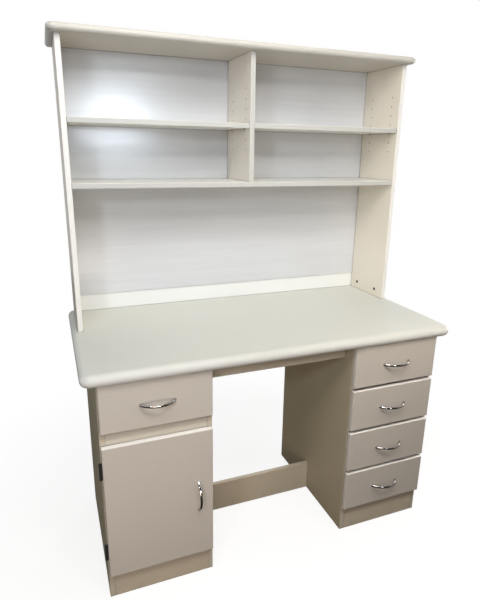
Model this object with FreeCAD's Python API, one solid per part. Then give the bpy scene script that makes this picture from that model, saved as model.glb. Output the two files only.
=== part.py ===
"""Student desk with a hutch: two pedestals, a bullnosed desktop and an open shelf unit on top.

Millimetres, +Z up, front towards -Y.  The origin is on the floor, midway between the desktop's two
ends and midway between the handles' outermost points and the desktop's rear edge.
Each function below makes one kind of piece; build_all() lists every node and writes it to parts/.
"""
import FreeCAD, Part
import math
import os

# ---------------------------------------------------------------- driving dimensions
# Desktop
desktop_width = 1220.0
desktop_depth = 590.0
desktop_thick = 38.0
desk_height = 756.0
desktop_corner = 25.0
nose_flat = 0.2

# Sheet goods
board = 16.0
thin_panel = 3.0
groove_depth = 6.0
groove_play = 0.2
eased_edge = 1.0

# Pedestals
pedestal_width = 328.0
pedestal_inset = 40.0
carcass_setback = 36.0
carcass_depth = 492.0
plinth_height = 104.0
back_inset = 9.0
top_rail_width = 70.0

# Fronts
front_gap = 2.0
front_width = 322.0
drawer_front_height = 147.0
drawer_pitch = 158.0
lowest_front_z = 95.5
door_bottom_z = 88.0
door_height = 438.0
front_edge_radius = 3.0
drawers_per_stack = 4

# Drawer boxes
box_side_thick = 12.0
box_height = 100.0
box_length = 440.0
box_lift = 30.0
box_groove_up = 8.0
box_groove_depth = 5.0

# Roller runners: steel channels with one roller each
runner_space = 12.5
steel = 1.2
runner_length = 430.0
runner_setback = 2.0
roller_end_distance = 14.0
roller_play = 0.3
cabinet_roller_radius = 8.0
roller_width = 7.3
rolling_flange_height = 14.0
rolling_flange_reach = 3.0
bearing_flange_reach = 11.0
channel_drop = 8.0
channel_rise = 18.0
channel_flange = 10.0
channel_lip = 8.0

# Bow handles
handle_span = 107.0
handle_reach = 28.0
handle_mid_thick = 4.8
handle_foot_length = 9.0
handle_mid_width = 7.0
handle_end_width = 10.0
handle_eased_edge = 1.2
door_handle_inset = 45.0
door_handle_z = 300.0

# Door hinges and catch
hinge_length = 55.0
hinge_inset = 53.0
hinge_axis_out = 3.4
leaf_thick = 0.9
leaf_width = 14.0
knuckle_radius = 3.2
knuckle_count = 3
knuckle_gap = 0.3
pin_radius = 1.5
pin_play = 0.05
pin_proud = 1.0
catch_width = 14.0
catch_depth = 14.0
catch_height = 45.0
catch_gap = 1.3
catch_below_top = 25.0

# Cupboard
mid_rail_bottom_z = 520.0
mid_rail_top_z = 576.0
cupboard_shelf_z = 312.0
cupboard_shelf_setback = 30.0
shelf_end_play = 1.0

# Rails across the knee hole
apron_setback = 80.0
apron_bottom_z = 661.0
foot_rail_setback = 289.0
foot_rail_top_z = 114.0
foot_rail_clearance = 2.0

# Hutch
hutch_width = 1180.0
hutch_front_setback = 352.0
hutch_side_top_z = 1626.0
hutch_top_thick = 22.0
hutch_top_front_overhang = 32.0
hutch_top_corner = 20.0
hutch_panel_setback = 571.0
hutch_rail_top_z = 830.0
hutch_panel_bottom_z = 815.0
fixed_shelf_z = 1206.0
shelf_front_setback = 2.0
shelf_rear_play = 1.0

# Shelf pins and their rows of holes
pin_hole_radius = 2.5
pin_hole_depth = 10.0
pin_hole_pitch = 32.0
pin_holes_per_row = 7
lowest_pin_hole_z = 1327.5
hutch_shelf_hole = 2
front_row_setback = 396.0
rear_row_setback = 518.0
shelf_pin_reach = 8.0
shelf_pin_play = 0.05
cupboard_row_inset = 60.0
small_round_sides = 12
roller_sides = 16

# Cam fittings that hold the hutch down
cam_radius = 5.0
cam_depth = 12.0
cam_play = 0.1
cam_up = 29.0
cam_setbacks = (404.0, 528.0)
cam_slot_width = 1.4
cam_slot_length = 6.5
cam_slot_depth = 1.2

# ---------------------------------------------------------------- derived places
front_thick = board
front_setback = carcass_setback - front_gap - front_thick
overall_depth = desktop_depth + handle_reach - front_setback
desktop_front_y = overall_depth / 2.0 - desktop_depth
desktop_rear_y = desktop_front_y + desktop_depth
desktop_under_z = desk_height - desktop_thick
carcass_front_y = desktop_front_y + carcass_setback
carcass_rear_y = carcass_front_y + carcass_depth
front_face_y = desktop_front_y + front_setback
front_back_y = front_face_y + front_thick
carcass_back_y = carcass_rear_y - back_inset - thin_panel
behind_rail_y = carcass_front_y + board
pedestal_outer_x = desktop_width / 2.0 - pedestal_inset
pedestal_inner_x = pedestal_outer_x - pedestal_width
pedestal_centre_x = pedestal_outer_x - pedestal_width / 2.0
inside_half = pedestal_width / 2.0 - board
box_half = inside_half - runner_space
base_top_z = plinth_height
base_under_z = plinth_height - board
shelf_pin_radius = pin_hole_radius - shelf_pin_play
hutch_half = hutch_width / 2.0
hutch_inside = hutch_half - board
hutch_front_y = desktop_front_y + hutch_front_setback
hutch_panel_y = desktop_front_y + hutch_panel_setback
hutch_total_z = hutch_side_top_z + hutch_top_thick
hinge_axis_x = -(pedestal_outer_x + hinge_axis_out)
hinge_axis_y = carcass_front_y - front_gap / 2.0
door_top_z = door_bottom_z + door_height
hinge_low_z = (door_bottom_z + hinge_inset, door_top_z - hinge_inset - hinge_length)
left = -1.0
right = 1.0

AXIS = {
    "x": FreeCAD.Vector(1, 0, 0),
    "y": FreeCAD.Vector(0, 1, 0),
    "z": FreeCAD.Vector(0, 0, 1),
}


# ---------------------------------------------------------------- small tools
def block(x_span, y_span, z_span):
    """Return a box between two values on each axis, given in either order."""
    low = FreeCAD.Vector(min(x_span), min(y_span), min(z_span))
    high = FreeCAD.Vector(max(x_span), max(y_span), max(z_span))
    size = high - low
    return Part.makeBox(size.x, size.y, size.z, low)


def rod(axis, start, radius, length):
    """Return a cylinder that runs from start along the named axis; a negative length runs back."""
    direction = AXIS[axis] * math.copysign(1.0, length)
    return Part.makeCylinder(radius, abs(length), FreeCAD.Vector(*start), direction)


def many_sided_rod(start, radius, length, sides=small_round_sides):
    """Return a rod along x with flat sides, for the small rounds that repeat many times.

    radius is measured to the middle of a flat, and one flat faces straight up.
    """
    corner_radius = radius / math.cos(math.pi / sides)
    corners = []
    for index in range(sides):
        turn = 2.0 * math.pi * (index + 0.5) / sides
        y = start[1] + corner_radius * math.sin(turn)
        z = start[2] + corner_radius * math.cos(turn)
        corners.append(FreeCAD.Vector(start[0], y, z))
    corners.append(corners[0])
    return Part.Face(Part.makePolygon(corners)).extrude(AXIS["x"] * length)


def level_edges(shape, y_limit):
    """Return the horizontal edges of a plate, without the straight one along its rear."""
    chosen = []
    for edge in shape.Edges:
        bounds = edge.BoundBox
        is_level = bounds.ZLength < 1e-6
        is_rear = bounds.YMin > y_limit
        if is_level and not is_rear:
            chosen.append(edge)
    return chosen


def ease_front(shape):
    """Break the two long edges of a board's front edge band."""
    front = shape.BoundBox.YMin
    long_side = max(shape.BoundBox.XLength, shape.BoundBox.ZLength)
    chosen = []
    for edge in shape.Edges:
        bounds = edge.BoundBox
        on_front = abs(bounds.YMax - front) < 1e-6
        is_long = max(bounds.XLength, bounds.ZLength) > long_side / 2.0
        if on_front and is_long:
            chosen.append(edge)
    return shape.makeChamfer(eased_edge, chosen)


def pair(shape):
    """Return a shape and its mirror image across the desk's centre plane."""
    return [shape, shape.mirror(FreeCAD.Vector(0, 0, 0), AXIS["x"])]


def save(node, shapes):
    """Write one node's solids to its own STEP file."""
    solids = shapes if isinstance(shapes, list) else [shapes]
    shape = solids[0] if len(solids) == 1 else Part.makeCompound(solids)
    shape.exportStep("parts/" + node + ".step")


# ---------------------------------------------------------------- tops
def bullnosed_top(width, front_y, rear_y, z_span, corner_radius):
    """Return a top with a half-round nose on its front and both ends and a square rear edge."""
    half = width / 2.0
    low_z = min(z_span)
    thick = max(z_span) - low_z
    turn = corner_radius * (1.0 - math.sqrt(0.5))

    def point(x, y):
        return FreeCAD.Vector(x, y, low_z)

    outline = Part.Wire([
        Part.LineSegment(point(half, rear_y), point(-half, rear_y)).toShape(),
        Part.LineSegment(point(-half, rear_y), point(-half, front_y + corner_radius)).toShape(),
        Part.Arc(
            point(-half, front_y + corner_radius),
            point(-half + turn, front_y + turn),
            point(-half + corner_radius, front_y),
        ).toShape(),
        Part.LineSegment(point(-half + corner_radius, front_y), point(half - corner_radius, front_y)).toShape(),
        Part.Arc(
            point(half - corner_radius, front_y),
            point(half - turn, front_y + turn),
            point(half, front_y + corner_radius),
        ).toShape(),
        Part.LineSegment(point(half, front_y + corner_radius), point(half, rear_y)).toShape(),
    ])
    plate = Part.Face(outline).extrude(AXIS["z"] * thick)
    nose_radius = (thick - nose_flat) / 2.0
    return plate.makeFillet(nose_radius, level_edges(plate, rear_y - 1.0))


def desktop():
    """Return the desktop."""
    z_span = (desktop_under_z, desk_height)
    return bullnosed_top(desktop_width, desktop_front_y, desktop_rear_y, z_span, desktop_corner)


def hutch_top():
    """Return the hutch's top board, grooved underneath for the back panel."""
    front_y = hutch_front_y - hutch_top_front_overhang
    z_span = (hutch_side_top_z, hutch_total_z)
    top = bullnosed_top(desktop_width, front_y, desktop_rear_y, z_span, hutch_top_corner)
    groove = block(
        (-hutch_inside - groove_depth, hutch_inside + groove_depth),
        (hutch_panel_y, hutch_panel_y + thin_panel + groove_play),
        (hutch_side_top_z, hutch_side_top_z + groove_depth),
    )
    return top.cut(groove)


# ---------------------------------------------------------------- pedestals
def pedestal_side(outer_face_x, inward):
    """Return one pedestal side, grooved for the back.  inward is the way to the drawers."""
    inner_face_x = outer_face_x + inward * board
    side = block(
        (outer_face_x, inner_face_x),
        (carcass_front_y, carcass_rear_y),
        (0, desktop_under_z),
    )
    groove = block(
        (inner_face_x - inward * groove_depth, inner_face_x),
        (carcass_back_y, carcass_back_y + thin_panel + groove_play),
        (base_under_z, desktop_under_z),
    )
    return ease_front(side).cut(groove)


def cupboard_pin_places():
    """Return the y values of the two pin holes at each end of the cupboard shelf."""
    front_y = carcass_front_y + cupboard_shelf_setback + cupboard_row_inset
    rear_y = carcass_back_y - cupboard_row_inset
    return (front_y, rear_y)


def cupboard_pin_holes(inner_face_x, inward):
    """Return the cutters for the cupboard shelf's pin holes in one side."""
    cutters = []
    for y in cupboard_pin_places():
        start = (inner_face_x, y, cupboard_shelf_z - shelf_pin_radius)
        cutters.append(many_sided_rod(start, pin_hole_radius, -inward * pin_hole_depth))
    return cutters


def left_outer_side():
    """Return the left pedestal's outer side."""
    side = pedestal_side(-pedestal_outer_x, right)
    return side.cut(cupboard_pin_holes(-pedestal_outer_x + board, right))


def left_inner_side():
    """Return the left pedestal's side at the knee hole."""
    side = pedestal_side(-pedestal_inner_x, left)
    return side.cut(cupboard_pin_holes(-pedestal_inner_x - board, left))


def right_inner_side():
    """Return the right pedestal's side at the knee hole."""
    return pedestal_side(pedestal_inner_x, right)


def right_outer_side():
    """Return the right pedestal's outer side."""
    return pedestal_side(pedestal_outer_x, left)


def inside_span(centre_x, play=0.0):
    """Return the x span between a pedestal's sides."""
    return (centre_x - inside_half + play, centre_x + inside_half - play)


def pedestal_bases():
    """Return both pedestals' floors."""
    floor = block(inside_span(pedestal_centre_x), (behind_rail_y, carcass_back_y), (base_under_z, base_top_z))
    return pair(floor)


def plinth_boards():
    """Return both plinth boards, flush with the sides' front edges."""
    plinth = block(inside_span(pedestal_centre_x), (carcass_front_y, behind_rail_y), (0, plinth_height))
    return pair(plinth)


def pedestal_backs():
    """Return both thin backs, let into the sides' grooves."""
    reach = groove_depth - groove_play
    panel = block(
        inside_span(pedestal_centre_x, -reach),
        (carcass_back_y, carcass_back_y + thin_panel),
        (base_under_z + groove_play, desktop_under_z),
    )
    return pair(panel)


def top_rails():
    """Return the four flat rails that the desktop is screwed down to."""
    z_span = (desktop_under_z - board, desktop_under_z)
    starts = (carcass_front_y, carcass_back_y - top_rail_width)
    rails = []
    for start in starts:
        rails += pair(block(inside_span(pedestal_centre_x), (start, start + top_rail_width), z_span))
    return rails


def mid_rail():
    """Return the upright rail between the left drawer and the door."""
    rail = block(
        inside_span(-pedestal_centre_x),
        (carcass_front_y, behind_rail_y),
        (mid_rail_bottom_z, mid_rail_top_z),
    )
    return rail


def cupboard_top():
    """Return the board that closes the cupboard under the left drawer."""
    z_span = (mid_rail_top_z - board, mid_rail_top_z)
    return block(inside_span(-pedestal_centre_x), (behind_rail_y, carcass_back_y), z_span)


def cupboard_shelf():
    """Return the shelf inside the cupboard."""
    shelf = block(
        inside_span(-pedestal_centre_x, shelf_end_play),
        (carcass_front_y + cupboard_shelf_setback, carcass_back_y - shelf_rear_play),
        (cupboard_shelf_z, cupboard_shelf_z + board),
    )
    return ease_front(shelf)


def apron_rail():
    """Return the rail under the desktop across the knee hole."""
    front_y = desktop_front_y + apron_setback
    return block(
        (-pedestal_inner_x, pedestal_inner_x),
        (front_y, front_y + board),
        (apron_bottom_z, desktop_under_z),
    )


def foot_rail():
    """Return the wide low rail that ties the pedestals together."""
    front_y = desktop_front_y + foot_rail_setback
    return block(
        (-pedestal_inner_x, pedestal_inner_x),
        (front_y, front_y + board),
        (foot_rail_clearance, foot_rail_top_z),
    )


# ---------------------------------------------------------------- fronts and handles
def slab_front(centre_x, z_span):
    """Return one overlay front with rounded front edges."""
    half = front_width / 2.0
    slab = block((centre_x - half, centre_x + half), (front_face_y, front_back_y), z_span)
    face_edges = [edge for edge in slab.Edges if abs(edge.BoundBox.YMax - front_face_y) < 1e-6]
    return slab.makeFillet(front_edge_radius, face_edges)


def crescent_plan():
    """Return the bow seen from above: the area between its outer and its inner arc."""
    half_span = handle_span / 2.0
    half_gap = half_span - handle_foot_length

    def point(x, y):
        return FreeCAD.Vector(x, y, 0)

    inner_y = handle_mid_thick - handle_reach
    return Part.Face(Part.Wire([
        Part.Arc(point(-half_span, 0), point(0, -handle_reach), point(half_span, 0)).toShape(),
        Part.LineSegment(point(half_span, 0), point(half_gap, 0)).toShape(),
        Part.Arc(point(half_gap, 0), point(0, inner_y), point(-half_gap, 0)).toShape(),
        Part.LineSegment(point(-half_gap, 0), point(-half_span, 0)).toShape(),
    ]))


def waisted_outline():
    """Return the bow's outline from the front: wide at the feet and narrow at the middle."""
    half_span = handle_span / 2.0
    half_end = handle_end_width / 2.0
    half_mid = handle_mid_width / 2.0

    def point(x, z):
        return FreeCAD.Vector(x, 0, z)

    return Part.Face(Part.Wire([
        Part.Arc(point(-half_span, half_end), point(0, half_mid), point(half_span, half_end)).toShape(),
        Part.LineSegment(point(half_span, half_end), point(half_span, -half_end)).toShape(),
        Part.Arc(point(half_span, -half_end), point(0, -half_mid), point(-half_span, -half_end)).toShape(),
        Part.LineSegment(point(-half_span, -half_end), point(-half_span, half_end)).toShape(),
    ]))


def is_outer_arc(bounds):
    """Tell whether an edge of the bow runs along its outer arc."""
    return bounds.XLength > handle_foot_length and bounds.YMin < handle_mid_thick - handle_reach - 1.0


def bow(centre, along):
    """Return a bow handle: a crescent bar, waisted in front view, standing on its two feet."""
    crescent = crescent_plan().extrude(AXIS["z"] * handle_end_width)
    crescent.translate(AXIS["z"] * (-handle_end_width / 2.0))
    waist = waisted_outline().extrude(AXIS["y"] * (-handle_reach))
    bar = crescent.common(waist)
    outer_edges = [edge for edge in bar.Edges if is_outer_arc(edge.BoundBox)]
    bar = bar.makeChamfer(handle_eased_edge, outer_edges)
    if along == "z":
        bar.rotate(FreeCAD.Vector(0, 0, 0), AXIS["y"], 90)
    bar.translate(FreeCAD.Vector(centre[0], front_face_y, centre[1]))
    return bar


# ---------------------------------------------------------------- drawers
def drawer_front_bottom(row):
    """Return the lower edge of a drawer front; row 0 is the lowest."""
    return lowest_front_z + row * drawer_pitch


def drawer_front(centre_x, row):
    """Return one drawer front."""
    bottom = drawer_front_bottom(row)
    return slab_front(centre_x, (bottom, bottom + drawer_front_height))


def box_groove(centre_x, row):
    """Return the cutter for the groove that the drawer's bottom panel slides into."""
    reach = box_half - box_side_thick + box_groove_depth
    low = drawer_front_bottom(row) + box_lift + box_groove_up
    end_depth = box_side_thick - box_groove_depth
    return block(
        (centre_x - reach, centre_x + reach),
        (front_back_y + end_depth, front_back_y + box_length - end_depth),
        (low, low + thin_panel + groove_play),
    )


def box_z_span(row):
    """Return the z span of a drawer box's sides."""
    low = drawer_front_bottom(row) + box_lift
    return (low, low + box_height)


def drawer_sides(centre_x, row):
    """Return the drawer box's two long sides."""
    groove = box_groove(centre_x, row)
    sides = []
    for direction in (left, right):
        outer = centre_x + direction * box_half
        inner = outer - direction * box_side_thick
        side = block((outer, inner), (front_back_y, front_back_y + box_length), box_z_span(row))
        sides.append(side.cut(groove))
    return sides


def drawer_ends(centre_x, row):
    """Return the drawer box's inner front and its back, set between the sides."""
    half = box_half - box_side_thick
    x_span = (centre_x - half, centre_x + half)
    groove = box_groove(centre_x, row)
    inner_front = block(x_span, (front_back_y, front_back_y + box_side_thick), box_z_span(row))
    rear_y = front_back_y + box_length
    back = block(x_span, (rear_y - box_side_thick, rear_y), box_z_span(row))
    return [inner_front.cut(groove), back.cut(groove)]


def drawer_bottom(centre_x, row):
    """Return the drawer's thin bottom panel, a little smaller than its groove."""
    bounds = box_groove(centre_x, row).BoundBox
    return block(
        (bounds.XMin + groove_play, bounds.XMax - groove_play),
        (bounds.YMin + groove_play, bounds.YMax - groove_play),
        (bounds.ZMin, bounds.ZMin + thin_panel),
    )


def runner_profile(points, face_x, inward, low_z, y_span):
    """Extrude a runner's section; its points are (distance from the cabinet side, height)."""
    corners = [FreeCAD.Vector(face_x + inward * u, min(y_span), low_z + w) for u, w in points]
    corners.append(corners[0])
    face = Part.Face(Part.makePolygon(corners))
    return face.extrude(AXIS["y"] * (max(y_span) - min(y_span)))


def cabinet_channel(face_x, inward, row):
    """Return the fixed channel on one cabinet side, with the roller at its front end."""
    low_z = box_z_span(row)[0]
    start_y = carcass_front_y + runner_setback
    section = [
        (0, -channel_drop),
        (channel_flange, -channel_drop),
        (channel_flange, -channel_drop + steel),
        (steel, -channel_drop + steel),
        (steel, channel_rise - steel),
        (channel_lip, channel_rise - steel),
        (channel_lip, channel_rise),
        (0, channel_rise),
    ]
    channel = runner_profile(section, face_x, inward, low_z, (start_y, start_y + runner_length))
    flange_under = rolling_flange_height - steel
    axis_z = low_z + flange_under - roller_play - cabinet_roller_radius
    axis_y = start_y + roller_end_distance
    roller_start = (face_x + inward * steel, axis_y, axis_z)
    roller = many_sided_rod(roller_start, cabinet_roller_radius, inward * roller_width, roller_sides)
    return channel.fuse(roller)


def drawer_member(centre_x, inward, row):
    """Return the moving steel section under one drawer side, with the roller at its rear end."""
    face_x = centre_x - inward * inside_half
    low_z = box_z_span(row)[0]
    web = runner_space - steel
    top = rolling_flange_height
    section = [
        (web, -steel),
        (runner_space + bearing_flange_reach, -steel),
        (runner_space + bearing_flange_reach, 0),
        (runner_space, 0),
        (runner_space, top),
        (rolling_flange_reach, top),
        (rolling_flange_reach, top - steel),
        (web, top - steel),
    ]
    y_span = (carcass_front_y, carcass_front_y + runner_length)
    member = runner_profile(section, face_x, inward, low_z, y_span)
    ceiling = low_z + top - steel - roller_play
    floor = low_z - channel_drop + steel + roller_play
    radius = (ceiling - floor) / 2.0
    axis_y = max(y_span) - roller_end_distance
    roller_start = (face_x + inward * web, axis_y, (ceiling + floor) / 2.0)
    roller = many_sided_rod(roller_start, radius, -inward * roller_width, roller_sides)
    return member.fuse(roller)


def cabinet_runners():
    """Return every fixed channel: a pair for each drawer."""
    places = [(-pedestal_centre_x, drawers_per_stack - 1)]
    for row in range(drawers_per_stack):
        places.append((pedestal_centre_x, row))
    channels = []
    for centre_x, row in places:
        channels.append(cabinet_channel(centre_x - inside_half, right, row))
        channels.append(cabinet_channel(centre_x + inside_half, left, row))
    return channels


def save_drawer(name, centre_x, row):
    """Write the six nodes of one drawer."""
    centre = (centre_x, drawer_front_bottom(row) + drawer_front_height / 2.0)
    save(name + "_front", drawer_front(centre_x, row))
    save(name + "_sides", drawer_sides(centre_x, row))
    save(name + "_ends", drawer_ends(centre_x, row))
    save(name + "_bottom", drawer_bottom(centre_x, row))
    save(name + "_runners", [drawer_member(centre_x, right, row), drawer_member(centre_x, left, row)])
    save(name + "_handle", bow(centre, "x"))


# ---------------------------------------------------------------- cupboard door
def door_handle_centre():
    """Return the (x, z) centre of the door's upright handle."""
    door_right_x = -pedestal_centre_x + front_width / 2.0
    return (door_right_x - door_handle_inset, door_handle_z)


def cupboard_door():
    """Return the cupboard door."""
    return slab_front(-pedestal_centre_x, (door_bottom_z, door_top_z))


def hinge_leaves(plate_y_span, first_knuckle):
    """Return one leaf for each hinge, with every second knuckle from first_knuckle on."""
    pitch = hinge_length / knuckle_count
    plate_start_x = hinge_axis_x + knuckle_radius + knuckle_gap
    bore = pin_radius + pin_play
    leaves = []
    for low_z in hinge_low_z:
        plate = block((plate_start_x, plate_start_x + leaf_width), plate_y_span, (low_z, low_z + hinge_length))
        pieces = []
        for index in range(first_knuckle, knuckle_count, 2):
            start_z = low_z + index * pitch + knuckle_gap / 2.0
            length = pitch - knuckle_gap
            tab = block((hinge_axis_x, plate_start_x), plate_y_span, (start_z, start_z + length))
            pieces.append(rod("z", (hinge_axis_x, hinge_axis_y, start_z), knuckle_radius, length))
            pieces.append(tab)
        channel = rod("z", (hinge_axis_x, hinge_axis_y, low_z), bore, hinge_length)
        leaves.append(plate.fuse(pieces).removeSplitter().cut(channel))
    return leaves


def door_hinge_leaves():
    """Return the leaves behind the door."""
    return hinge_leaves((front_back_y, front_back_y + leaf_thick), 1)


def frame_hinge_leaves():
    """Return the leaves on the pedestal side's front edge, with the hinge pins."""
    leaves = hinge_leaves((carcass_front_y - leaf_thick, carcass_front_y), 0)
    pins = []
    for low_z in hinge_low_z:
        start = (hinge_axis_x, hinge_axis_y, low_z - pin_proud)
        pins.append(rod("z", start, pin_radius, hinge_length + 2.0 * pin_proud))
    return leaves + pins


def door_catch():
    """Return the magnetic catch on the cupboard's right-hand side."""
    side_x = -pedestal_inner_x - board
    top_z = mid_rail_bottom_z - catch_below_top
    front_y = front_back_y + catch_gap
    return block((side_x - catch_width, side_x), (front_y, front_y + catch_depth), (top_z - catch_height, top_z))


# ---------------------------------------------------------------- hutch
def pin_row_places():
    """Return the (y, z) places of the pin holes in one hutch face."""
    places = []
    for setback in (front_row_setback, rear_row_setback):
        for index in range(pin_holes_per_row):
            places.append((desktop_front_y + setback, lowest_pin_hole_z + index * pin_hole_pitch))
    return places


def hutch_side(direction):
    """Return one hutch side with its back groove, pin holes and cam pockets."""
    outer_x = direction * hutch_half
    inner_x = direction * hutch_inside
    side = block((outer_x, inner_x), (hutch_front_y, desktop_rear_y), (desk_height, hutch_side_top_z))
    cutters = [block(
        (inner_x, inner_x + direction * groove_depth),
        (hutch_panel_y, hutch_panel_y + thin_panel + groove_play),
        (hutch_panel_bottom_z, hutch_side_top_z),
    )]
    for y, z in pin_row_places():
        cutters.append(many_sided_rod((inner_x, y, z), pin_hole_radius, direction * pin_hole_depth))
    for setback in cam_setbacks:
        start = (inner_x, desktop_front_y + setback, desk_height + cam_up)
        cutters.append(many_sided_rod(start, cam_radius, direction * cam_depth))
    return ease_front(side).cut(cutters)


def hutch_divider():
    """Return the upright between the two upper bays, drilled through for the shelf pins."""
    half = board / 2.0
    divider = block(
        (-half, half),
        (hutch_front_y, hutch_panel_y - shelf_rear_play),
        (fixed_shelf_z + board, hutch_side_top_z),
    )
    cutters = [many_sided_rod((-half, y, z), pin_hole_radius, board) for y, z in pin_row_places()]
    return ease_front(divider).cut(cutters)


def hutch_fixed_shelf():
    """Return the full-width shelf that the divider stands on."""
    shelf = block(
        (-hutch_inside, hutch_inside),
        (hutch_front_y, hutch_panel_y - shelf_rear_play),
        (fixed_shelf_z, fixed_shelf_z + board),
    )
    return ease_front(shelf)


def hutch_shelf_under_z():
    """Return the underside of the adjustable shelves, which lie on their pins."""
    return lowest_pin_hole_z + hutch_shelf_hole * pin_hole_pitch + shelf_pin_radius


def hutch_adjustable_shelves():
    """Return the two short shelves of the upper bays."""
    low_z = hutch_shelf_under_z()
    shelf = block(
        (board / 2.0 + shelf_end_play, hutch_inside - shelf_end_play),
        (hutch_front_y + shelf_front_setback, hutch_panel_y - shelf_rear_play),
        (low_z, low_z + board),
    )
    return pair(ease_front(shelf))


def hutch_back_panel():
    """Return the hutch's thin back."""
    reach = hutch_inside + groove_depth - groove_play
    return block(
        (-reach, reach),
        (hutch_panel_y, hutch_panel_y + thin_panel),
        (hutch_panel_bottom_z + groove_play, hutch_side_top_z + groove_depth - groove_play),
    )


def hutch_back_rail():
    """Return the rail along the foot of the hutch, behind the thin back's lower edge."""
    return block(
        (-hutch_inside, hutch_inside),
        (hutch_panel_y + thin_panel, desktop_rear_y),
        (desk_height, hutch_rail_top_z),
    )


def shelf_pin(face_x, outward, y, z):
    """Return one plain shelf pin, half in its hole and half out under the shelf."""
    start = (face_x - outward * (board / 2.0 - 1.0), y, z)
    return many_sided_rod(start, shelf_pin_radius, outward * (board / 2.0 - 1.0 + shelf_pin_reach))


def shelf_pins():
    """Return the pins under the hutch's two adjustable shelves and the cupboard's shelf."""
    pins = []
    hole_z = lowest_pin_hole_z + hutch_shelf_hole * pin_hole_pitch
    for setback in (front_row_setback, rear_row_setback):
        y = desktop_front_y + setback
        for face_x, outward in ((hutch_inside, left), (board / 2.0, right)):
            pins += pair(shelf_pin(face_x, outward, y, hole_z))
    cupboard_z = cupboard_shelf_z - shelf_pin_radius
    for y in cupboard_pin_places():
        pins.append(shelf_pin(-pedestal_outer_x + board, right, y, cupboard_z))
        pins.append(shelf_pin(-pedestal_inner_x - board, left, y, cupboard_z))
    return pins


def cam_fittings():
    """Return the four cross-slotted cams low on the hutch sides' inner faces."""
    cams = []
    z = desk_height + cam_up
    for setback in cam_setbacks:
        y = desktop_front_y + setback
        start = (hutch_inside + cam_play, y, z)
        cam = many_sided_rod(start, cam_radius - cam_play, cam_depth - 2.0 * cam_play)
        x_span = (hutch_inside, hutch_inside + cam_play + cam_slot_depth)
        half_width = cam_slot_width / 2.0
        half_length = cam_slot_length / 2.0
        upright = block(x_span, (y - half_width, y + half_width), (z - half_length, z + half_length))
        level = block(x_span, (y - half_length, y + half_length), (z - half_width, z + half_width))
        cams += pair(cam.cut([upright, level]))
    return cams


# ---------------------------------------------------------------- every node
def build_all():
    """Write every node of the desk."""
    os.makedirs("parts", exist_ok=True)
    save("desktop", desktop())
    save("left_outer_side", left_outer_side())
    save("left_inner_side", left_inner_side())
    save("right_inner_side", right_inner_side())
    save("right_outer_side", right_outer_side())
    save("pedestal_bases", pedestal_bases())
    save("plinth_boards", plinth_boards())
    save("pedestal_backs", pedestal_backs())
    save("top_rails", top_rails())
    save("mid_rail", mid_rail())
    save("cupboard_top", cupboard_top())
    save("cupboard_shelf", cupboard_shelf())
    save("apron_rail", apron_rail())
    save("foot_rail", foot_rail())
    save("cabinet_runners", cabinet_runners())

    top_row = drawers_per_stack - 1
    save_drawer("left_drawer", -pedestal_centre_x, top_row)
    for number in range(1, drawers_per_stack + 1):
        save_drawer("right_drawer_" + str(number), pedestal_centre_x, drawers_per_stack - number)

    save("cupboard_door", cupboard_door())
    save("door_handle", bow(door_handle_centre(), "z"))
    save("door_hinge_leaves", door_hinge_leaves())
    save("frame_hinge_leaves", frame_hinge_leaves())
    save("door_catch", door_catch())

    save("hutch_left_side", hutch_side(left))
    save("hutch_right_side", hutch_side(right))
    save("hutch_top", hutch_top())
    save("hutch_divider", hutch_divider())
    save("hutch_fixed_shelf", hutch_fixed_shelf())
    save("hutch_adjustable_shelves", hutch_adjustable_shelves())
    save("hutch_back_panel", hutch_back_panel())
    save("hutch_back_rail", hutch_back_rail())
    save("shelf_pins", shelf_pins())
    save("cam_fittings", cam_fittings())


build_all()
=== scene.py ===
"""Student desk with a hutch: its finishes, bow handles and small fasteners in a plain studio.

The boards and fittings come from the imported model.  This script dresses them, swaps the plain handles
and pins for smooth ones, adds the fasteners and the runners' rollers, and sets up the floor, the lamps
and the camera.  All lengths are in metres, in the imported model's own frame: +Z up, front towards -Y,
origin on the floor.
"""
import logging
import math
from dataclasses import dataclass, replace
from enum import Enum, auto
from functools import cached_property
from typing import Callable, Sequence

import bpy
import numpy as np
from mathutils import Matrix, Vector


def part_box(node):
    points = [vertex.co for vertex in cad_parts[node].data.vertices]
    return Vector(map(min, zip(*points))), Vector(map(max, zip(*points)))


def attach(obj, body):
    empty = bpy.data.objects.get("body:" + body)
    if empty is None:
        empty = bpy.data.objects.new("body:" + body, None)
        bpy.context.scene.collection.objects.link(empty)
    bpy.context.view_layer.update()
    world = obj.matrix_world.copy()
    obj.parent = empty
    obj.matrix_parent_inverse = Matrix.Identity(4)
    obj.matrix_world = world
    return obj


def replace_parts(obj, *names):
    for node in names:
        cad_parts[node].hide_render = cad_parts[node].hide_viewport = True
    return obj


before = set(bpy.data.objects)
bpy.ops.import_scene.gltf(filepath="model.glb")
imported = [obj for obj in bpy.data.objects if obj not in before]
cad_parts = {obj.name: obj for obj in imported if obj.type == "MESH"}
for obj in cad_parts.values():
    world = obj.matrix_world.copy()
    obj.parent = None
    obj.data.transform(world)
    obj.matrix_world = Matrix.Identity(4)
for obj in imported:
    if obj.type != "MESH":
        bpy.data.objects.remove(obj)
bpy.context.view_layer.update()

LOG = logging.getLogger("desk")
Colour = tuple[float, float, float]
Point = tuple[float, float, float]
Span = tuple[float, float]
Material = bpy.types.Material
Socket = bpy.types.NodeSocket
SHARP_ANGLE = math.radians(32.0)  # edges that turn by more stay sharp
EDGE_TURN: Span = (0.01, 0.16)  # one minus the cosine of the turn where an edge starts and is full


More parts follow.
